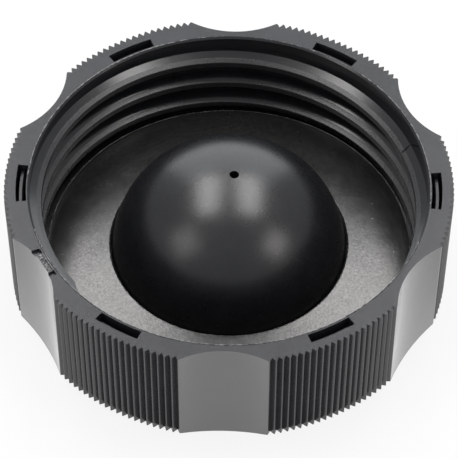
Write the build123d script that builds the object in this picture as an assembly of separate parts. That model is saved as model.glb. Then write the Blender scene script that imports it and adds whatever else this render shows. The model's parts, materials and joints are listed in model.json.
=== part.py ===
"""A screw-on filler cap for a diesel exhaust fluid tank, lying on its crown with its mouth up.

The crown face is on z = 0, the cap's axis is Z, and +Z points out of the mouth.
Angles are in degrees, anticlockwise from +X as seen from the mouth. Lengths are millimetres.
"""

from build123d import *
import math
import os

# Heights, from the crown face up to the rim
COVER_THICKNESS = 1.4
CHAMBER_HEIGHT = 1.3
FLOOR_THICKNESS = 1.2
BORE_DEPTH = 18.2

# Bore and its lip
BORE_RADIUS = 35.5
LIP_BEVEL_WIDTH = 0.4
LIP_BEVEL_HEIGHT = 0.3

# Thread, a right-hand single start that sinks into the floor
THREAD_PITCH = 5.45
THREAD_HEIGHT = 2.1
THREAD_ROOT_WIDTH = 3.2
THREAD_CREST_WIDTH = 1.15
THREAD_UPPER_FLANK_ANGLE = 26.0
THREAD_CREST_ROUND = 0.15
THREAD_START_DEPTH = 1.38
THREAD_START_ANGLE = 230.0
THREAD_RUN_IN_ANGLE = 14.0

# Slots in the rim, and the pockets below them that take the cover's legs
PATTERN_TURN = -1.2
PANEL_COUNT = 6
LIP_WALL = 0.6
SLOT_WIDTH = 1.85
SLOT_HALF_ANGLE = 6.5
SLOT_DEPTH = 6.6

# Grip, with a ribbed panel over each slot and a smooth scallop between panels
SLOT_TO_GROOVE_WALL = 1.28
GROOVE_DEPTH = 0.8
RIBS_PER_PANEL = 20
RIB_CREST_HALF_WIDTH = 0.12
RIB_CREST_ROUND_DROP = 0.07
GRIP_DRAFT = 0.9
SCALLOP_HALF_ANGLE = 11.42
SCALLOP_WALL = 1.56
SCALLOP_CROWN_WALL = 2.1
SCALLOP_CORNER_ROUND = 0.3

# Recess in the rim where the moulding's gate broke off, and the torn stub in it
GATE_ANGLE = 208.45
GATE_HALF_ANGLE = 5.35
GATE_STUB_HALF_ANGLE = 3.5
GATE_WALL = 0.65
GATE_DEPTH = 0.6
GATE_END_ROUND = 0.45
GATE_STUB_DROP = 0.1

# Dome in the floor, with its pinhole a little off the apex
DOME_WALL = 1.6
DOME_CENTRE_ABOVE_FLOOR = 0.55
PINHOLE_RADIUS = 0.86
PINHOLE_OFFSET = 0.92

# Sealing gasket, between the thread and the dome, with a top that slopes down outwards
GASKET_WIDTH = 11.6
GASKET_INNER_THICKNESS = 2.8
GASKET_OUTER_THICKNESS = 1.2
GASKET_EDGE_ROUND = 0.25
GASKET_HOLE_CHAMFER = 0.35
GASKET_TO_THREAD_GAP = 0.6
GASKET_TO_DOME_GAP = 0.1

# Crown cover and its snap legs
COVER_SEAT_WIDTH = 1.5
COVER_GAP = 0.15
COVER_EDGE_CHAMFER = 0.3
LEG_THICKNESS = 0.8
LEG_INNER_GAP = 0.45
LEG_OUTER_GAP = 0.2
LEG_HALF_ANGLE = 6.2
LEG_TIP_DEPTH = 1.4
LEG_TIP_WIDTH = 0.5
LEG_TIP_TAPER_HEIGHT = 0.8
HOOK_REACH = 0.5
HOOK_HEIGHT = 1.2
HOOK_GAP = 0.1

# Vent plate under the dome, and the membrane on it
PLATE_THICKNESS = 1.0
PLATE_FLANGE_WIDTH = 1.5
PLATE_SPIGOT_HEIGHT = 1.5
PLATE_SPIGOT_WALL = 1.2
PLATE_SPIGOT_GAP = 0.1
PORT_COUNT = 6
PORT_RADIUS = 1.0
PORT_CIRCLE_RADIUS = 4.0
MEMBRANE_THICKNESS = 0.3
MEMBRANE_MARGIN = 2.0

# Levels
SEAT_Z = COVER_THICKNESS
FLOOR_BOTTOM_Z = SEAT_Z + CHAMBER_HEIGHT
FLOOR_TOP_Z = FLOOR_BOTTOM_Z + FLOOR_THICKNESS
RIM_Z = FLOOR_TOP_Z + BORE_DEPTH
DOME_CENTRE_Z = FLOOR_TOP_Z + DOME_CENTRE_ABOVE_FLOOR
LEDGE_Z = RIM_Z - SLOT_DEPTH

# Radii
THREAD_CREST_RADIUS = BORE_RADIUS - THREAD_HEIGHT
SLOT_INNER_RADIUS = BORE_RADIUS + LIP_WALL
SLOT_OUTER_RADIUS = SLOT_INNER_RADIUS + SLOT_WIDTH
GROOVE_RADIUS = SLOT_OUTER_RADIUS + SLOT_TO_GROOVE_WALL
GRIP_RADIUS = GROOVE_RADIUS + GROOVE_DEPTH
CROWN_SCALE = 1 - GRIP_DRAFT / GRIP_RADIUS
SCALLOP_RIM_RADIUS = BORE_RADIUS + SCALLOP_WALL
SCALLOP_CROWN_RADIUS = BORE_RADIUS + SCALLOP_CROWN_WALL
GATE_RADIUS = BORE_RADIUS + GATE_WALL
LEG_INNER_RADIUS = SLOT_INNER_RADIUS + LEG_INNER_GAP
LEG_OUTER_RADIUS = LEG_INNER_RADIUS + LEG_THICKNESS
POCKET_OUTER_RADIUS = LEG_OUTER_RADIUS + LEG_OUTER_GAP
GASKET_OUTER_RADIUS = THREAD_CREST_RADIUS - GASKET_TO_THREAD_GAP
GASKET_HOLE_RADIUS = GASKET_OUTER_RADIUS - GASKET_WIDTH
DOME_RADIUS = GASKET_HOLE_RADIUS - GASKET_TO_DOME_GAP
DOME_CAVITY_RADIUS = DOME_RADIUS - DOME_WALL
CHAMBER_RADIUS = BORE_RADIUS - COVER_SEAT_WIDTH
MEMBRANE_RADIUS = PORT_CIRCLE_RADIUS + PORT_RADIUS + MEMBRANE_MARGIN

PANEL_ANGLE = 360 / PANEL_COUNT
OVERCUT = 1.0
EMBED = 0.3


def polar(radius, angle):
    """The plan point at this radius and angle."""
    return Vector(radius * math.cos(math.radians(angle)), radius * math.sin(math.radians(angle)))


def turned(points, sweep_angle=360, start_angle=0):
    """A solid turned about Z from (radius, z) points, through sweep_angle from start_angle."""
    outline = Plane.XZ * make_face(Polyline(*points, close=True))
    return Rotation(0, 0, start_angle) * revolve(outline, Axis.Z, sweep_angle)


def at_each_panel(solid):
    """One copy of the solid in the middle of each ribbed panel."""
    return [Rotation(0, 0, PATTERN_TURN + PANEL_ANGLE * i) * solid for i in range(PANEL_COUNT)]


def enclosed(curves):
    """The flat face inside a closed run of lines and arcs."""
    return make_face([edge for curve in curves for edge in curve.edges()])


def rib_crest(angle):
    """The rounded crest of one rib, as an arc in plan."""
    half_angle = math.degrees(RIB_CREST_HALF_WIDTH / GRIP_RADIUS)
    shoulder_radius = GRIP_RADIUS - RIB_CREST_ROUND_DROP
    return ThreePointArc(
        polar(shoulder_radius, angle - half_angle),
        polar(GRIP_RADIUS, angle),
        polar(shoulder_radius, angle + half_angle),
    )


def panel_edges(middle_angle):
    """The zigzag of one ribbed panel in plan, from the scallop before it to the scallop after it."""
    half_angle = PANEL_ANGLE / 2 - SCALLOP_HALF_ANGLE
    pitch = 2 * half_angle / (RIBS_PER_PANEL + 1)
    first = middle_angle - half_angle
    edges = []
    here = polar(GRIP_RADIUS, first)
    for rib in range(RIBS_PER_PANEL + 1):
        groove = polar(GROOVE_RADIUS, first + (rib + 0.5) * pitch)
        edges.append(Line(here, groove))
        if rib == RIBS_PER_PANEL:
            edges.append(Line(groove, polar(GRIP_RADIUS, middle_angle + half_angle)))
            continue
        crest = rib_crest(first + (rib + 1) * pitch)
        edges.append(Line(groove, crest @ 0))
        edges.append(crest)
        here = crest @ 1
    return edges


def grip_outline(valley_radius):
    """The ribbed and scalloped outline of the grip, as a flat face, with the scallops down to a radius."""
    edges = []
    for panel in range(PANEL_COUNT):
        middle = PATTERN_TURN + PANEL_ANGLE * panel
        scallop = middle + PANEL_ANGLE / 2
        edges += panel_edges(middle)
        edges.append(ThreePointArc(
            polar(GRIP_RADIUS, scallop - SCALLOP_HALF_ANGLE),
            polar(valley_radius, scallop),
            polar(GRIP_RADIUS, scallop + SCALLOP_HALF_ANGLE),
        ))
    outline = enclosed(edges)
    # The scallops' corners reach the full radius, and the ends of the crests' arcs don't
    corner_radius = GRIP_RADIUS - RIB_CREST_ROUND_DROP / 2
    corners = [point for point in outline.vertices() if Vector(point.X, point.Y).length > corner_radius]
    return fillet(corners, SCALLOP_CORNER_ROUND)


def grip_blank():
    """The solid grip. It narrows towards the crown, where the scallops are shallower."""
    at_rim = grip_outline(SCALLOP_RIM_RADIUS)
    at_crown = scale(grip_outline(SCALLOP_CROWN_RADIUS / CROWN_SCALE), CROWN_SCALE)
    return loft([at_crown, Pos(0, 0, RIM_Z) * at_rim], ruled=True)


def scallop_circle():
    """The circle of a scallop's arc at the crown: its radius and its centre's distance from the axis."""
    crown_radius = GRIP_RADIUS * CROWN_SCALE
    half_chord = crown_radius * math.sin(math.radians(SCALLOP_HALF_ANGLE))
    sagitta = crown_radius * math.cos(math.radians(SCALLOP_HALF_ANGLE)) - SCALLOP_CROWN_RADIUS
    radius = (half_chord ** 2 + sagitta ** 2) / (2 * sagitta)
    return radius, SCALLOP_CROWN_RADIUS + radius


def lobed_outline(inset):
    """The outline of the recess in the crown, following the scallops, drawn in by inset."""
    radius, distance = scallop_circle()
    wall = GROOVE_RADIUS * CROWN_SCALE - POCKET_OUTER_RADIUS
    outline = Sketch() + Circle(POCKET_OUTER_RADIUS - inset)
    for panel in range(PANEL_COUNT):
        angle = PATTERN_TURN + PANEL_ANGLE * (panel + 0.5)
        outline -= Pos(*polar(distance, angle)) * Circle(radius + wall + inset)
    return outline


def thread():
    """The helical thread, run in at the mouth and trimmed at the floor."""
    turns = (BORE_DEPTH - THREAD_START_DEPTH) / THREAD_PITCH
    upper_slope = math.tan(math.radians(THREAD_UPPER_FLANK_ANGLE))
    crest_top = -THREAD_HEIGHT * upper_slope
    crest_bottom = crest_top - THREAD_CREST_WIDTH
    lower_slope = (THREAD_ROOT_WIDTH + crest_bottom) / THREAD_HEIGHT
    section = make_face(Polyline(
        (EMBED, EMBED * upper_slope),
        (-THREAD_HEIGHT, crest_top),
        (-THREAD_HEIGHT, crest_bottom),
        (EMBED, -THREAD_ROOT_WIDTH - EMBED * lower_slope),
        close=True,
    ))
    crest_corners = section.vertices().sort_by(Axis.X)[0:2]
    section = fillet(crest_corners, THREAD_CREST_ROUND)
    helix = Helix(THREAD_PITCH, turns * THREAD_PITCH, BORE_RADIUS, center=(0, 0, FLOOR_TOP_Z))
    start = Plane(origin=(BORE_RADIUS, 0, FLOOR_TOP_Z), x_dir=(1, 0, 0), z_dir=(0, -1, 0))
    ridge = sweep(start * section, path=helix, is_frenet=True)
    ridge = Rotation(0, 0, THREAD_START_ANGLE - 360 * turns) * ridge
    sleeve = turned([
        (THREAD_CREST_RADIUS - OVERCUT, FLOOR_TOP_Z - EMBED),
        (BORE_RADIUS + OVERCUT, FLOOR_TOP_Z - EMBED),
        (BORE_RADIUS + OVERCUT, RIM_Z),
        (THREAD_CREST_RADIUS - OVERCUT, RIM_Z),
    ])
    return (ridge & sleeve) - run_in_cutter()


def run_in_cutter():
    """A round cutter that touches the bore where the thread starts and leaves its crest further on."""
    crest_share = math.cos(math.radians(THREAD_RUN_IN_ANGLE)) * THREAD_CREST_RADIUS
    distance = (BORE_RADIUS ** 2 - THREAD_CREST_RADIUS ** 2) / (2 * (BORE_RADIUS - crest_share))
    height = THREAD_START_DEPTH + THREAD_PITCH
    place = polar(distance, THREAD_START_ANGLE)
    cutter = Cylinder(BORE_RADIUS - distance, height, align=(Align.CENTER, Align.CENTER, Align.MAX))
    return Pos(place.X, place.Y, RIM_Z + EMBED) * cutter


def bore_space():
    """The space inside the bore, with the lip's bevel."""
    return turned([
        (0, FLOOR_TOP_Z),
        (BORE_RADIUS, FLOOR_TOP_Z),
        (BORE_RADIUS, RIM_Z - LIP_BEVEL_HEIGHT),
        (BORE_RADIUS + LIP_BEVEL_WIDTH, RIM_Z),
        (BORE_RADIUS + LIP_BEVEL_WIDTH, RIM_Z + OVERCUT),
        (0, RIM_Z + OVERCUT),
    ])


def half_ball(radius):
    """A half ball on the dome's centre, with a straight skirt down to the chamber."""
    ball = Pos(0, 0, DOME_CENTRE_Z) * Sphere(radius)
    height = DOME_CENTRE_Z - FLOOR_BOTTOM_Z
    below = Cylinder(radius, radius * 2, align=(Align.CENTER, Align.CENTER, Align.MAX))
    skirt = Cylinder(radius, height, align=(Align.CENTER, Align.CENTER, Align.MAX))
    return ball - Pos(0, 0, DOME_CENTRE_Z) * below + Pos(0, 0, DOME_CENTRE_Z) * skirt


def slot_and_pocket():
    """The slot in the rim and the pocket under it for one snap leg, about +X."""
    return turned([
        (SLOT_INNER_RADIUS, SEAT_Z - EMBED),
        (POCKET_OUTER_RADIUS, SEAT_Z - EMBED),
        (POCKET_OUTER_RADIUS, LEDGE_Z),
        (SLOT_OUTER_RADIUS, LEDGE_Z),
        (SLOT_OUTER_RADIUS, RIM_Z + OVERCUT),
        (SLOT_INNER_RADIUS, RIM_Z + OVERCUT),
    ], 2 * SLOT_HALF_ANGLE, -SLOT_HALF_ANGLE)


def rim_block(depth, half_angle):
    """A block in the rim at the gate, from above the rim to a depth, open to the scallop."""
    return turned([
        (GATE_RADIUS, RIM_Z - depth),
        (GRIP_RADIUS, RIM_Z - depth),
        (GRIP_RADIUS, RIM_Z + OVERCUT),
        (GATE_RADIUS, RIM_Z + OVERCUT),
    ], 2 * half_angle, GATE_ANGLE - half_angle)


def gate_recess():
    """The round-ended recess at the gate, less the stub that is left standing in it."""
    recess = rim_block(GATE_DEPTH, GATE_HALF_ANGLE)
    inner_corners = recess.edges().filter_by(Axis.Z).sort_by(Axis((0, 0, 0), polar(1, GATE_ANGLE)))[:2]
    stub = rim_block(GATE_DEPTH, GATE_STUB_HALF_ANGLE) - rim_block(GATE_STUB_DROP, GATE_HALF_ANGLE)
    return fillet(inner_corners, GATE_END_ROUND) - stub


def dome():
    """The hollow dome, with its pinhole."""
    pinhole = Pos(PINHOLE_OFFSET, 0, DOME_CENTRE_Z) * Cylinder(
        PINHOLE_RADIUS, DOME_RADIUS + OVERCUT, align=(Align.CENTER, Align.CENTER, Align.MIN)
    )
    return half_ball(DOME_RADIUS) - half_ball(DOME_CAVITY_RADIUS) - pinhole


def crown_hollow():
    """The recess in the crown, the chamber above it and the opening under the dome."""
    chamber = Pos(0, 0, SEAT_Z) * Cylinder(
        CHAMBER_RADIUS, CHAMBER_HEIGHT, align=(Align.CENTER, Align.CENTER, Align.MIN)
    )
    opening = Pos(0, 0, FLOOR_BOTTOM_Z) * Cylinder(
        DOME_CAVITY_RADIUS, FLOOR_THICKNESS, align=(Align.CENTER, Align.CENTER, Align.MIN)
    )
    return extrude(lobed_outline(0), SEAT_Z) + chamber + opening


def cap_body():
    """The one-piece moulding: grip, slotted rim, threaded wall, floor and dome."""
    hollows = [bore_space(), crown_hollow(), gate_recess(), *at_each_panel(slot_and_pocket())]
    return grip_blank() - hollows + [dome(), thread()]


def sealing_gasket():
    """The ring that lies on the floor around the dome. Its top slopes down to a rounded outer edge."""
    section = make_face(Polyline(
        (GASKET_HOLE_RADIUS, FLOOR_TOP_Z),
        (GASKET_OUTER_RADIUS, FLOOR_TOP_Z),
        (GASKET_OUTER_RADIUS, FLOOR_TOP_Z + GASKET_OUTER_THICKNESS),
        (GASKET_HOLE_RADIUS, FLOOR_TOP_Z + GASKET_INNER_THICKNESS),
        close=True,
    ))
    outer_corner, hole_corner = section.vertices().sort_by(Axis.Y)[2:]
    section = chamfer(hole_corner, GASKET_HOLE_CHAMFER)
    outer_corner = section.vertices().sort_by_distance(outer_corner)[0]
    section = fillet(outer_corner, GASKET_EDGE_ROUND)
    return revolve(Plane.XZ * section, Axis.Z)


def snap_leg():
    """One leg of the crown cover with its outward hook, about +X."""
    tip_z = RIM_Z - LEG_TIP_DEPTH
    catch_z = LEDGE_Z + HOOK_GAP
    return turned([
        (LEG_INNER_RADIUS, SEAT_Z - EMBED),
        (LEG_OUTER_RADIUS, SEAT_Z - EMBED),
        (LEG_OUTER_RADIUS, catch_z),
        (LEG_OUTER_RADIUS + HOOK_REACH, catch_z),
        (LEG_OUTER_RADIUS, catch_z + HOOK_HEIGHT),
        (LEG_OUTER_RADIUS, tip_z),
        (LEG_OUTER_RADIUS - LEG_TIP_WIDTH, tip_z),
        (LEG_INNER_RADIUS, tip_z - LEG_TIP_TAPER_HEIGHT),
    ], 2 * LEG_HALF_ANGLE, -LEG_HALF_ANGLE)


def crown_cover():
    """The disc that closes the crown, keyed by the scallops, with a snap leg under each slot."""
    disc = extrude(lobed_outline(COVER_GAP), SEAT_Z)
    outer_edges = disc.faces().sort_by(Axis.Z)[0].edges()
    cover = chamfer(outer_edges, COVER_EDGE_CHAMFER)
    for leg in at_each_panel(snap_leg()):
        cover += leg
    return cover


def vent_plate():
    """The plate that closes the dome's base, located by a spigot ring, with a ring of ports."""
    spigot_radius = DOME_CAVITY_RADIUS - PLATE_SPIGOT_GAP
    bottom = FLOOR_BOTTOM_Z - PLATE_THICKNESS
    plate = turned([
        (0, bottom),
        (DOME_CAVITY_RADIUS + PLATE_FLANGE_WIDTH, bottom),
        (DOME_CAVITY_RADIUS + PLATE_FLANGE_WIDTH, FLOOR_BOTTOM_Z),
        (spigot_radius, FLOOR_BOTTOM_Z),
        (spigot_radius, FLOOR_BOTTOM_Z + PLATE_SPIGOT_HEIGHT),
        (spigot_radius - PLATE_SPIGOT_WALL, FLOOR_BOTTOM_Z + PLATE_SPIGOT_HEIGHT),
        (spigot_radius - PLATE_SPIGOT_WALL, FLOOR_BOTTOM_Z),
        (0, FLOOR_BOTTOM_Z),
    ])
    for port in range(PORT_COUNT):
        place = polar(PORT_CIRCLE_RADIUS, 360 / PORT_COUNT * port)
        plate -= Pos(place.X, place.Y, bottom + PLATE_THICKNESS / 2) * Cylinder(
            PORT_RADIUS, PLATE_THICKNESS + OVERCUT
        )
    return plate


def vent_membrane():
    """The porous disc that lies over the ports on the dome's side."""
    return Pos(0, 0, FLOOR_BOTTOM_Z) * Cylinder(
        MEMBRANE_RADIUS, MEMBRANE_THICKNESS, align=(Align.CENTER, Align.CENTER, Align.MIN)
    )


PARTS = {
    "cap_body": cap_body,
    "sealing_gasket": sealing_gasket,
    "crown_cover": crown_cover,
    "vent_plate": vent_plate,
    "vent_membrane": vent_membrane,
}

os.makedirs("parts", exist_ok=True)
for name, make in PARTS.items():
    export_step(make(), f"parts/{name}.step")
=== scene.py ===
import json
import math

import bpy
from mathutils import Matrix, Vector


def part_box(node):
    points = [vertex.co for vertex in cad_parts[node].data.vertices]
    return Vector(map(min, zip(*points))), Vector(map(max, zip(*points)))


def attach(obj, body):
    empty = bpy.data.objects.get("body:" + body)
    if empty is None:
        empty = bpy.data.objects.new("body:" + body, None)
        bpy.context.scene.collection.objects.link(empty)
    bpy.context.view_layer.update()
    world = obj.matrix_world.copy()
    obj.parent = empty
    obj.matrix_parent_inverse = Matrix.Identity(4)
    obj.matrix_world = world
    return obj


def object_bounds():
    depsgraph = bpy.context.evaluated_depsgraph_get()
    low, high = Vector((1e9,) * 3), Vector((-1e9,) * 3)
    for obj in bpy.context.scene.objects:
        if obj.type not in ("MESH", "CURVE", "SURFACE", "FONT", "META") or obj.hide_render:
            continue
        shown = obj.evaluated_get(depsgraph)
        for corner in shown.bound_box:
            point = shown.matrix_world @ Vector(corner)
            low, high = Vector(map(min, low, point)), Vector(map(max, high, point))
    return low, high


MM = 0.001

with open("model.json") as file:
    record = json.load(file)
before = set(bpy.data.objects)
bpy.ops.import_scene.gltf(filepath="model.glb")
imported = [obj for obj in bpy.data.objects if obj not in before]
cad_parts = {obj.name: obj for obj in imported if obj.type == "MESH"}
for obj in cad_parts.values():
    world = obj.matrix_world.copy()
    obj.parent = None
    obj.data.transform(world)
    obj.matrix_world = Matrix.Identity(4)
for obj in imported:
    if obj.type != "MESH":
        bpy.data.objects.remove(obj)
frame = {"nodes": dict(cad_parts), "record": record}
cad_low, cad_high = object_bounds()

# Levels and radii of the cap, read from the frame
NECK = frame["record"]["mounts"][2]
RIM_Z = NECK["pos_m"][2]
BORE_RADIUS = NECK["dims"]["r_mm"] * MM
GRIP_RADIUS = cad_high[0]
GASKET_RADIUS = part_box("sealing_gasket")[1][0]
LIP_RADIUS = BORE_RADIUS + 0.2 * MM
LIP_EDGE_RADIUS = BORE_RADIUS + 0.4 * MM
SIDE_RADIUS = BORE_RADIUS + 1.45 * MM
SCALLOP_ANGLE = 28.8
SCALLOP_HALF_ANGLE = 11.42
SCALLOP_COUNT = 6
GASKET_HOLE_RADIUS = GASKET_RADIUS - 11.25 * MM
BORE_ZONE_RADIUS = (GASKET_RADIUS + BORE_RADIUS) / 2
BODY = "root"

# Roughness of the body's plastic on the dome, in the bore and outside
DOME_ROUGHNESS = 0.28
BORE_ROUGHNESS = 0.16
GRIP_ROUGHNESS = 0.24

# How the surfaces bend light, and the clear skin on the walls of the scallops
PLASTIC_IOR = 1.7
RUBBER_IOR = 1.8
SKIN_IOR = 1.7
SKIN_ROUGHNESS = 0.12
MEMBRANE_ROUGHNESS = 0.85
UPRIGHT_TOLERANCE = 0.3

# Sizes and heights of the surface features
MOTTLE_SIZE = 5 * MM
POLISH_SIZE = 1.6 * MM
WAVE_SIZE = 2.5 * MM
WAVE_HEIGHT = 0.015 * MM
GRAIN_SIZE = 0.25 * MM
GRAIN_HEIGHT = 0.012 * MM
PATCH_SIZE = 3.0 * MM
DUST_SIZE = 0.4 * MM
SCUFF_SIZE = 0.5 * MM
SCUFF_HEIGHT = 0.01 * MM
RUBBER_GRAIN_SIZE = 0.5 * MM
RUBBER_GRAIN_HEIGHT = 0.014 * MM
FIBRE_SIZE = 0.2 * MM
SPOT_SIZE = 0.6 * MM
ROUGH_HEIGHT = 0.03 * MM

# The camera that the photo was taken with, in the cap's frame
CAMERA_ELEVATION = math.radians(50.49)
CAMERA_TARGET = Vector((0.029, -9.685, 0)) * MM + Vector((0, 0, RIM_Z))
CAMERA_DISTANCE = 857.5 * MM
CAMERA_ROLL = math.radians(0.174)
CAMERA_LENS = 381.96
SENSOR_WIDTH = 36.0
CLIP_START = 0.05
CLIP_END = 20.0

# The world and the floor
WORLD_LEVEL = 0.42
FLOOR_HALF = 1.5
FLOOR_GREY = 0.85
FLOOR_GLOW_SHARE = 0.85

# Flash along the edges, and the torn stub of the gate
FLASH_STEP = 0.35
FLASH_SIDES = 6
GATE_START = 205.0
GATE_END = 211.9
GATE_RADIUS = BORE_RADIUS + 0.65 * MM
STUB_TOP = RIM_Z - 0.1 * MM
STUB_COLUMNS = 18
STUB_ROWS = 4
STUB_MARGIN = 0.06 * MM
STUB_WIDTH = 1.0 * MM
STUB_SHIFT = 0.12 * MM
STUB_SINK = 0.03 * MM
STUB_RISE = 0.3 * MM
LIP_FLASH_DROP = 0.06 * MM
GASKET_EDGE_INSET = 0.12 * MM
GASKET_EDGE_DROP = 1.55 * MM
GASKET_HOLE_DROP = 0.03 * MM

# The thread's upper flank, and the weld line across it
THREAD_PITCH = 5.45 * MM
THREAD_START_DEPTH = 1.38 * MM
THREAD_START_ANGLE = 230.0
FLANK_SLOPE = math.tan(math.radians(26))
WELD_OUTER = (BORE_RADIUS - 0.15 * MM, 23.0)
WELD_INNER = (BORE_RADIUS - 1.85 * MM, 22.2)
WELD_HALF_WIDTH = 0.1 * MM
WELD_LIFT = 0.07 * MM
WELD_STEPS = 10
BURR_CENTRE = (BORE_RADIUS - 1.65 * MM, 21.4)
BURR_RADIUS = 0.2 * MM


def new_material(name):
    """An empty node material with one Principled shader; returns it with its node tree and shader."""
    material = bpy.data.materials.new(name)
    material.use_nodes = True
    tree = material.node_tree
    shader = tree.nodes["Principled BSDF"]
    return material, tree, shader


def link(tree, source, output, target, entry):
    """Joins a node's output to another node's input, each given by name or number."""
    tree.links.new(source.outputs[output], target.inputs[entry])


def object_coords(tree):
    return tree.nodes.new("ShaderNodeTexCoord")


def noise(tree, coords, size, detail=4.0, roughness=0.6):
    """A noise texture whose features are about size metres across."""
    texture = tree.nodes.new("ShaderNodeTexNoise")
    texture.inputs["Scale"].default_value = 1.0 / size
    texture.inputs["Detail"].default_value = detail
    texture.inputs["Roughness"].default_value = roughness
    link(tree, coords, "Object", texture, "Vector")
    return texture


def ramp(tree, source, output, low, high, low_colour, high_colour):
    """A colour ramp between two positions of a source value."""
    node = tree.nodes.new("ShaderNodeValToRGB")
    node.color_ramp.elements[0].position = low
    node.color_ramp.elements[1].position = high
    node.color_ramp.elements[0].color = (*low_colour, 1)
    node.color_ramp.elements[1].color = (*high_colour, 1)
    link(tree, source, output, node, "Fac")
    return node


def span(tree, source, output, low, high):
    """Maps a 0 to 1 value onto low to high."""
    node = tree.nodes.new("ShaderNodeMapRange")
    node.inputs["To Min"].default_value = low
    node.inputs["To Max"].default_value = high
    link(tree, source, output, node, "Value")
    return node


def bump(tree, source, output, height, strength=1.0, under=None):
    node = tree.nodes.new("ShaderNodeBump")
    node.inputs["Strength"].default_value = strength
    node.inputs["Distance"].default_value = height
    link(tree, source, output, node, "Height")
    if under is not None:
        link(tree, under, "Normal", node, "Normal")
    return node


def distance_from_axis(tree, coords):
    """The distance from the cap's axis, in metres."""
    flat = tree.nodes.new("ShaderNodeVectorMath")
    flat.operation = "MULTIPLY"
    flat.inputs[1].default_value = (1, 1, 0)
    link(tree, coords, "Object", flat, 0)
    length = tree.nodes.new("ShaderNodeVectorMath")
    length.operation = "LENGTH"
    link(tree, flat, "Vector", length, 0)
    return length


def by_radius(tree, radius, steps):
    """A grey value that changes at given radii: steps are (radius, value) pairs, inside first."""
    share = tree.nodes.new("ShaderNodeMapRange")
    share.inputs["From Max"].default_value = GRIP_RADIUS
    link(tree, radius, "Value", share, "Value")
    node = tree.nodes.new("ShaderNodeValToRGB")
    node.color_ramp.interpolation = "CONSTANT"
    elements = node.color_ramp.elements
    while len(elements) < len(steps):
        elements.new(0.5)
    for element, (start, value) in zip(elements, steps):
        element.position = start / GRIP_RADIUS
        element.color = (value, value, value, 1)
    link(tree, share, "Result", node, "Fac")
    return node


def combine(tree, operation, first, first_output, second, second_output):
    """A maths step between two sources."""
    node = tree.nodes.new("ShaderNodeMath")
    node.operation = operation
    link(tree, first, first_output, node, 0)
    link(tree, second, second_output, node, 1)
    return node


def product(tree, first, first_output, second, second_output):
    return combine(tree, "MULTIPLY", first, first_output, second, second_output)


def math_node(tree, operation, source, output, value):
    """A maths step between a source and a number."""
    node = tree.nodes.new("ShaderNodeMath")
    node.operation = operation
    node.inputs[1].default_value = value
    link(tree, source, output, node, 0)
    return node


def in_scallops(tree, coords):
    """1 in the sectors of the six scallops, and 0 over the ribbed panels."""
    parts = tree.nodes.new("ShaderNodeSeparateXYZ")
    link(tree, coords, "Object", parts, "Vector")
    angle = combine(tree, "ARCTAN2", parts, "Y", parts, "X")
    from_scallop = math_node(tree, "SUBTRACT", angle, "Value", math.radians(SCALLOP_ANGLE))
    turns = math_node(tree, "MULTIPLY", from_scallop, "Value", SCALLOP_COUNT)
    wave = math_node(tree, "COSINE", turns, "Value", 0)
    edge = math.cos(math.radians(SCALLOP_COUNT * SCALLOP_HALF_ANGLE))
    return math_node(tree, "GREATER_THAN", wave, "Value", edge)


def scallop_walls(tree, coords, radius):
    """1 on the upright walls of the scallops, and 0 everywhere else."""
    parts = tree.nodes.new("ShaderNodeSeparateXYZ")
    link(tree, coords, "Normal", parts, "Vector")
    upright = math_node(tree, "COMPARE", parts, "Z", 0)
    upright.inputs[2].default_value = UPRIGHT_TOLERANCE
    outside = by_radius(tree, radius, ((0, 0), (SIDE_RADIUS, 1)))
    walls = product(tree, upright, "Value", outside, "Color")
    return product(tree, walls, "Value", in_scallops(tree, coords), "Value")


def body_plastic():
    """Black moulded plastic: grained on the dome, glossy in the bore, satin outside; painted darker inside
    the lip as shade and paler outside as light on the outer faces.
    """
    material, tree, shader = new_material("black_plastic")
    coords = object_coords(tree)
    radius = distance_from_axis(tree, coords)
    mottle = noise(tree, coords, MOTTLE_SIZE, 5.0, 0.65)
    # Painted shade and light: the darker inside colour stands in for shade in the bore and on the dome, the
    # paler outside colour for light falling on the outer faces.
    inside = ramp(tree, mottle, "Fac", 0.35, 0.7, (0.0065, 0.007, 0.0082), (0.0115, 0.012, 0.0138))
    outside = ramp(tree, mottle, "Fac", 0.35, 0.7, (0.014, 0.015, 0.018), (0.023, 0.0245, 0.029))
    painted_light_zone = by_radius(tree, radius, ((0, 0), (LIP_RADIUS, 1)))
    colour = tree.nodes.new("ShaderNodeMix")
    colour.data_type = "RGBA"
    link(tree, painted_light_zone, "Color", colour, 0)
    link(tree, inside, "Color", colour, 6)
    link(tree, outside, "Color", colour, 7)
    tree.links.new(colour.outputs[2], shader.inputs["Base Color"])
    polish = noise(tree, coords, POLISH_SIZE, 6.0, 0.7)
    unevenness = span(tree, polish, "Fac", 0.85, 1.15)
    gloss = by_radius(tree, radius, (
        (0, DOME_ROUGHNESS), (BORE_ZONE_RADIUS, BORE_ROUGHNESS), (LIP_RADIUS, GRIP_ROUGHNESS),
    ))
    roughness = product(tree, gloss, "Color", unevenness, "Result")
    link(tree, roughness, "Value", shader, "Roughness")
    wave = noise(tree, coords, WAVE_SIZE, 3.0, 0.5)
    waviness = bump(tree, wave, "Fac", WAVE_HEIGHT, 0.35)
    fine = noise(tree, coords, GRAIN_SIZE, 5.0, 0.75)
    coarseness = by_radius(tree, radius, ((0, 1.0), (BORE_ZONE_RADIUS, 0.1), (LIP_RADIUS, 0.45)))
    grain = product(tree, fine, "Fac", coarseness, "Color")
    texture = bump(tree, grain, "Value", GRAIN_HEIGHT, 1.0, under=waviness)
    link(tree, texture, "Normal", shader, "Normal")
    shader.inputs["IOR"].default_value = PLASTIC_IOR
    skin = scallop_walls(tree, coords, radius)
    link(tree, skin, "Value", shader, "Coat Weight")
    shader.inputs["Coat Roughness"].default_value = SKIN_ROUGHNESS
    shader.inputs["Coat IOR"].default_value = SKIN_IOR
    return material


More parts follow.
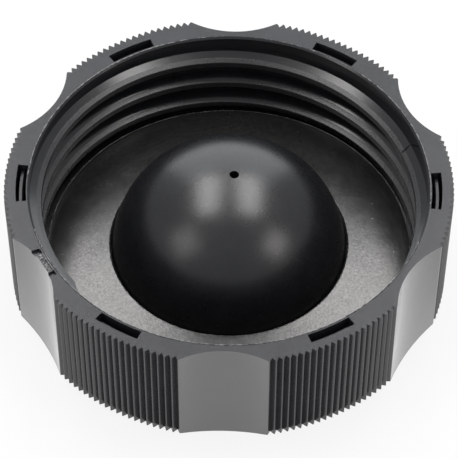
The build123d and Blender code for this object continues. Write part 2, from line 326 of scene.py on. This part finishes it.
def gasket_rubber():
    """Grey-black rubber with a coarse grain, dull patches and fine scuffs."""
    material, tree, shader = new_material("gasket_rubber")
    coords = object_coords(tree)
    patches = noise(tree, coords, PATCH_SIZE, 4.0, 0.6)
    dust = noise(tree, coords, DUST_SIZE, 4.0, 0.6)
    colour = ramp(tree, dust, "Fac", 0.36, 0.66, (0.009, 0.009, 0.009), (0.024, 0.0238, 0.023))
    link(tree, colour, "Color", shader, "Base Color")
    roughness = span(tree, patches, "Fac", 0.18, 0.32)
    link(tree, roughness, "Result", shader, "Roughness")
    patch_sheen = span(tree, patches, "Fac", 0.65, 1.35)
    dust_sheen = span(tree, dust, "Fac", 0.2, 0.84)
    sheen = product(tree, patch_sheen, "Result", dust_sheen, "Result")
    link(tree, sheen, "Value", shader, "Specular IOR Level")
    scuffs = tree.nodes.new("ShaderNodeMapping")
    scuffs.inputs["Scale"].default_value = (1, 0.12, 1)
    scuffs.inputs["Rotation"].default_value = (0, 0, 0.3)
    link(tree, coords, "Object", scuffs, "Vector")
    streaks = tree.nodes.new("ShaderNodeTexNoise")
    streaks.inputs["Scale"].default_value = 1.0 / SCUFF_SIZE
    streaks.inputs["Detail"].default_value = 4.0
    link(tree, scuffs, "Vector", streaks, "Vector")
    scratched = bump(tree, streaks, "Fac", SCUFF_HEIGHT, 0.6)
    grain = noise(tree, coords, RUBBER_GRAIN_SIZE, 2.0, 0.5)
    texture = bump(tree, grain, "Fac", RUBBER_GRAIN_HEIGHT, 0.9, under=scratched)
    link(tree, texture, "Normal", shader, "Normal")
    shader.inputs["IOR"].default_value = RUBBER_IOR
    return material


def membrane_felt():
    """White porous film with a matted surface."""
    material, tree, shader = new_material("membrane_felt")
    coords = object_coords(tree)
    fibres = noise(tree, coords, FIBRE_SIZE, 8.0, 0.8)
    colour = ramp(tree, fibres, "Fac", 0.3, 0.7, (0.62, 0.62, 0.6), (0.82, 0.82, 0.8))
    link(tree, colour, "Color", shader, "Base Color")
    shader.inputs["Roughness"].default_value = MEMBRANE_ROUGHNESS
    texture = bump(tree, fibres, "Fac", ROUGH_HEIGHT, 0.9)
    link(tree, texture, "Normal", shader, "Normal")
    return material


def dress(node, material):
    """Gives a CAD node its material."""
    mesh = frame["nodes"][node].data
    mesh.materials.clear()
    mesh.materials.append(material)


def dress_nodes():
    plastic = body_plastic()
    dress("cap_body", plastic)
    dress("crown_cover", plastic)
    dress("vent_plate", plastic)
    dress("sealing_gasket", gasket_rubber())
    dress("vent_membrane", membrane_felt())


def make_camera():
    data = bpy.data.cameras.new("photo_camera")
    data.lens = CAMERA_LENS
    data.sensor_width = SENSOR_WIDTH
    data.clip_start = CLIP_START
    data.clip_end = CLIP_END
    camera = bpy.data.objects.new("photo_camera", data)
    bpy.context.scene.collection.objects.link(camera)
    back = Vector((0, -math.cos(CAMERA_ELEVATION), math.sin(CAMERA_ELEVATION)))
    right = Vector((1, 0, 0))
    up = back.cross(right)
    rolled_right = math.cos(CAMERA_ROLL) * right + math.sin(CAMERA_ROLL) * up
    rolled_up = -math.sin(CAMERA_ROLL) * right + math.cos(CAMERA_ROLL) * up
    turn = Matrix((rolled_right, rolled_up, back)).transposed()
    camera.matrix_world = Matrix.Translation(CAMERA_TARGET + CAMERA_DISTANCE * back) @ turn.to_4x4()
    bpy.context.scene.camera = camera


def softbox(name, direction, distance, size, radiance, colour=(1, 1, 1)):
    """A rectangular area light that faces the cap from a direction, as bright to look at as radiance says."""
    data = bpy.data.lights.new(name, "AREA")
    data.shape = "RECTANGLE"
    data.size = size[0]
    data.size_y = size[1]
    data.energy = radiance * math.pi * size[0] * size[1]
    data.color = colour
    light = bpy.data.objects.new(name, data)
    bpy.context.scene.collection.objects.link(light)
    way = Vector(direction).normalized()
    across = Vector((0, 1, 0)).cross(way).normalized()
    along = way.cross(across)
    place = way * distance + Vector((0, 0, RIM_Z / 2))
    turn = Matrix((across, along, way)).transposed()
    light.matrix_world = Matrix.Translation(place) @ turn.to_4x4()


def make_lights():
    softbox("overhead_left", (-0.30, 0.31, 0.90), 1.0, (0.34, 0.75), 5.0, (1.0, 0.985, 0.97))
    softbox("overhead_right", (0.30, 0.31, 0.90), 1.0, (0.34, 0.75), 5.0, (1.0, 0.985, 0.97))
    softbox("back", (0, 0.91, 0.41), 1.3, (1.7, 1.1), 1.25, (0.93, 0.965, 1.0))
    softbox("front_left", (-0.68, -0.36, 0.64), 1.0, (0.42, 0.42), 1.5, (1.0, 0.97, 0.94))
    softbox("front_right", (0.72, -0.36, 0.59), 1.0, (0.32, 0.38), 2.6, (1.0, 0.96, 0.92))


def make_world():
    """Dim even light from all round."""
    world = bpy.data.worlds.new("studio")
    world.use_nodes = True
    background = world.node_tree.nodes["Background"]
    background.inputs["Color"].default_value = (0.96, 0.98, 1.0, 1)
    background.inputs["Strength"].default_value = WORLD_LEVEL
    bpy.context.scene.world = world


def make_floor():
    """A pale floor that shows white to the camera and in reflections, and keeps the cap's shadow."""
    mesh = bpy.data.meshes.new("floor")
    corners = [(x, y, 0) for x, y in ((-1, -1), (1, -1), (1, 1), (-1, 1))]
    mesh.from_pydata([(FLOOR_HALF * x, FLOOR_HALF * y, z) for x, y, z in corners], [], [(0, 1, 2, 3)])
    floor = bpy.data.objects.new("floor", mesh)
    bpy.context.scene.collection.objects.link(floor)
    material = bpy.data.materials.new("floor_white")
    material.use_nodes = True
    tree = material.node_tree
    tree.nodes.clear()
    output = tree.nodes.new("ShaderNodeOutputMaterial")
    paint = tree.nodes.new("ShaderNodeBsdfDiffuse")
    paint.inputs["Color"].default_value = (FLOOR_GREY, FLOOR_GREY, FLOOR_GREY, 1)
    glow = tree.nodes.new("ShaderNodeEmission")
    glow.inputs["Color"].default_value = (1, 1, 1, 1)
    glow.inputs["Strength"].default_value = 1.0
    path = tree.nodes.new("ShaderNodeLightPath")
    mirrored = combine(tree, "MAXIMUM", path, "Is Glossy Ray", path, "Is Transmission Ray")
    seen = combine(tree, "MAXIMUM", path, "Is Camera Ray", mirrored, "Value")
    share = math_node(tree, "MULTIPLY", seen, "Value", FLOOR_GLOW_SHARE)
    mix = tree.nodes.new("ShaderNodeMixShader")
    tree.links.new(share.outputs[0], mix.inputs[0])
    tree.links.new(paint.outputs[0], mix.inputs[1])
    tree.links.new(glow.outputs[0], mix.inputs[2])
    tree.links.new(mix.outputs[0], output.inputs["Surface"])
    mesh.materials.append(material)


def ragged(step, seed):
    """A repeatable uneven value from 0 to 1 for a step along an edge."""
    value = math.sin(step * 12.9898 + seed * 78.233) * 43758.5453
    return value - math.floor(value)


def add_piece(name, vertices, faces, material, smooth=False):
    """A new piece of the cap from a mesh, with its material and slot."""
    mesh = bpy.data.meshes.new(name)
    mesh.from_pydata(vertices, [], faces)
    if smooth:
        mesh.shade_smooth()
    mesh.materials.append(material)
    piece = bpy.data.objects.new(name, mesh)
    bpy.context.scene.collection.objects.link(piece)
    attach(piece, BODY)


def edge_bead(name, radius, height, thickness, start, end, seed, material):
    """A thin, uneven bead of flash along an edge round the axis, between two angles."""
    span_angle = end - start
    steps = int(abs(span_angle) / FLASH_STEP) + 1
    vertices = []
    faces = []
    for step in range(steps + 1):
        angle = math.radians(start + span_angle * step / steps)
        lump = (ragged(step // 3, seed) + ragged(step // 3 + 1, seed)) / 2
        size = thickness * (0.35 + 0.8 * lump ** 2 + 0.3 * ragged(step, seed + 2))
        shift = thickness * 0.6 * (ragged(step, seed + 1) - 0.5)
        for side in range(FLASH_SIDES):
            turn = 2 * math.pi * side / FLASH_SIDES
            r = radius + shift + size * math.cos(turn)
            z = height + size * math.sin(turn)
            vertices.append((r * math.cos(angle), r * math.sin(angle), z))
    for step in range(steps):
        for side in range(FLASH_SIDES):
            here = step * FLASH_SIDES + side
            beside = step * FLASH_SIDES + (side + 1) % FLASH_SIDES
            faces.append((here, beside, beside + FLASH_SIDES, here + FLASH_SIDES))
    add_piece(name, vertices, faces, material, smooth=True)


def spotted_two_colour(name, low_colour, high_colour, sheen=0.5):
    """Material that varies in spots between two colours, with an uneven gloss: used for torn and flashed
    plastic, a burr, painted highlights on edges and painted shade in a seam.
    """
    material, tree, shader = new_material(name)
    coords = object_coords(tree)
    spots = noise(tree, coords, SPOT_SIZE, 5.0, 0.7)
    colour = ramp(tree, spots, "Fac", 0.4, 0.62, low_colour, high_colour)
    link(tree, colour, "Color", shader, "Base Color")
    shader.inputs["Specular IOR Level"].default_value = sheen
    roughness = span(tree, spots, "Fac", 0.2, 0.45)
    link(tree, roughness, "Result", shader, "Roughness")
    rough = bump(tree, spots, "Fac", ROUGH_HEIGHT, 0.8)
    link(tree, rough, "Normal", shader, "Normal")
    return material


def torn_stub(material):
    """The torn top of the broken gate: a low ragged crust on the stub."""
    vertices = []
    faces = []
    for column in range(STUB_COLUMNS + 1):
        angle = math.radians(GATE_START + (GATE_END - GATE_START) * column / STUB_COLUMNS)
        for row in range(STUB_ROWS + 1):
            edge = column in (0, STUB_COLUMNS) or row in (0, STUB_ROWS)
            r = GATE_RADIUS + STUB_MARGIN + STUB_WIDTH * row / STUB_ROWS
            rise = 0 if edge else ragged(column * 31 + row, 5) ** 2
            r += 0 if edge else STUB_SHIFT * (ragged(column * 17 + row, 9) - 0.5)
            height = STUB_TOP - STUB_SINK + STUB_RISE * rise
            vertices.append((r * math.cos(angle), r * math.sin(angle), height))
    for column in range(STUB_COLUMNS):
        for row in range(STUB_ROWS):
            here = column * (STUB_ROWS + 1) + row
            faces.append((here, here + STUB_ROWS + 1, here + STUB_ROWS + 2, here + 1))
    add_piece("torn_stub", vertices, faces, material)


def on_flank(radius, angle, lift):
    """The point of the first turn's upper flank at a radius and an angle, lifted off it a little."""
    depth = THREAD_START_DEPTH + THREAD_PITCH * (THREAD_START_ANGLE - angle) / 360
    height = RIM_Z - depth - (BORE_RADIUS - radius) * FLANK_SLOPE + lift
    turn = math.radians(angle)
    return radius * math.cos(turn), radius * math.sin(turn), height


def weld_line(dark, pale):
    """A thin dark strip of painted shade along the seam from the wall to the crest, with a pale burr beside
    its lower end.
    """
    vertices = []
    for step in range(WELD_STEPS + 1):
        share = step / WELD_STEPS
        radius = WELD_OUTER[0] + (WELD_INNER[0] - WELD_OUTER[0]) * share
        angle = WELD_OUTER[1] + (WELD_INNER[1] - WELD_OUTER[1]) * share
        half_turn = math.degrees(WELD_HALF_WIDTH * (0.6 + 0.8 * ragged(step, 11)) / radius)
        vertices.append(on_flank(radius, angle - half_turn, WELD_LIFT))
        vertices.append(on_flank(radius, angle + half_turn, WELD_LIFT))
    faces = [(2 * step, 2 * step + 1, 2 * step + 3, 2 * step + 2) for step in range(WELD_STEPS)]
    add_piece("weld_line", vertices, faces, dark)
    rim = []
    for step in range(WELD_STEPS):
        turn = 2 * math.pi * step / WELD_STEPS
        size = BURR_RADIUS * (0.6 + 0.5 * ragged(step, 12))
        radius = BURR_CENTRE[0] + size * math.cos(turn)
        angle = BURR_CENTRE[1] + math.degrees(size * math.sin(turn) / radius)
        rim.append(on_flank(radius, angle, WELD_LIFT / 2))
    rim.append(on_flank(*BURR_CENTRE, 2 * WELD_LIFT))
    faces = [(step, (step + 1) % WELD_STEPS, WELD_STEPS) for step in range(WELD_STEPS)]
    add_piece("weld_burr", rim, faces, pale)


def make_details():
    # Partly painted highlight: the pale flash colour stands for real flash and torn plastic, and also for the
    # highlight along the rounded edges of the lip and the gate.
    flash = spotted_two_colour("flash_and_painted_highlight", (0.045, 0.046, 0.048), (0.32, 0.32, 0.325))
    # Painted highlight: pale rubber for the bright line along the edge of the gasket's hole.
    painted_edge_highlight = spotted_two_colour("painted_edge_highlight", (0.03, 0.03, 0.03), (0.22, 0.22, 0.215))
    for name, radius, start, end, thickness, seed in (
        ("lip_flash_back_left", LIP_EDGE_RADIUS, 106, 176, 0.14 * MM, 1),
        ("lip_flash_right", LIP_EDGE_RADIUS, -6, 42, 0.14 * MM, 2),
        ("lip_flash_back_right", LIP_EDGE_RADIUS, 42, 106, 0.08 * MM, 3),
        ("lip_flash_front", LIP_RADIUS, 196, 340, 0.12 * MM, 4),
    ):
        edge_bead(name, radius, RIM_Z - LIP_FLASH_DROP, thickness, start, end, seed, flash)
    rubber = bpy.data.materials["gasket_rubber"]
    gasket_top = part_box("sealing_gasket")[1][2]
    edge_bead(
        "gasket_outer_flash", GASKET_RADIUS - GASKET_EDGE_INSET, gasket_top - GASKET_EDGE_DROP,
        0.12 * MM, 0, 360, 6, rubber,
    )
    edge_bead(
        "gasket_inner_painted_highlight", GASKET_HOLE_RADIUS, gasket_top - GASKET_HOLE_DROP,
        0.1 * MM, 0, 360, 8, painted_edge_highlight,
    )
    edge_bead("gate_flash", GATE_RADIUS, RIM_Z, 0.14 * MM, GATE_START, GATE_END, 7, flash)
    torn_stub(flash)
    weld_line(
        # Painted shade: a near-black strip stands in for the shade in the seam's groove.
        spotted_two_colour("weld_shadow", (0.004, 0.004, 0.004), (0.01, 0.01, 0.011), 0.08),
        spotted_two_colour("weld_pale", (0.06, 0.06, 0.062), (0.1, 0.1, 0.105)),
    )


dress_nodes()
make_details()
make_floor()
make_lights()
make_world()
make_camera()
bpy.context.scene.view_settings.view_transform = "Standard"
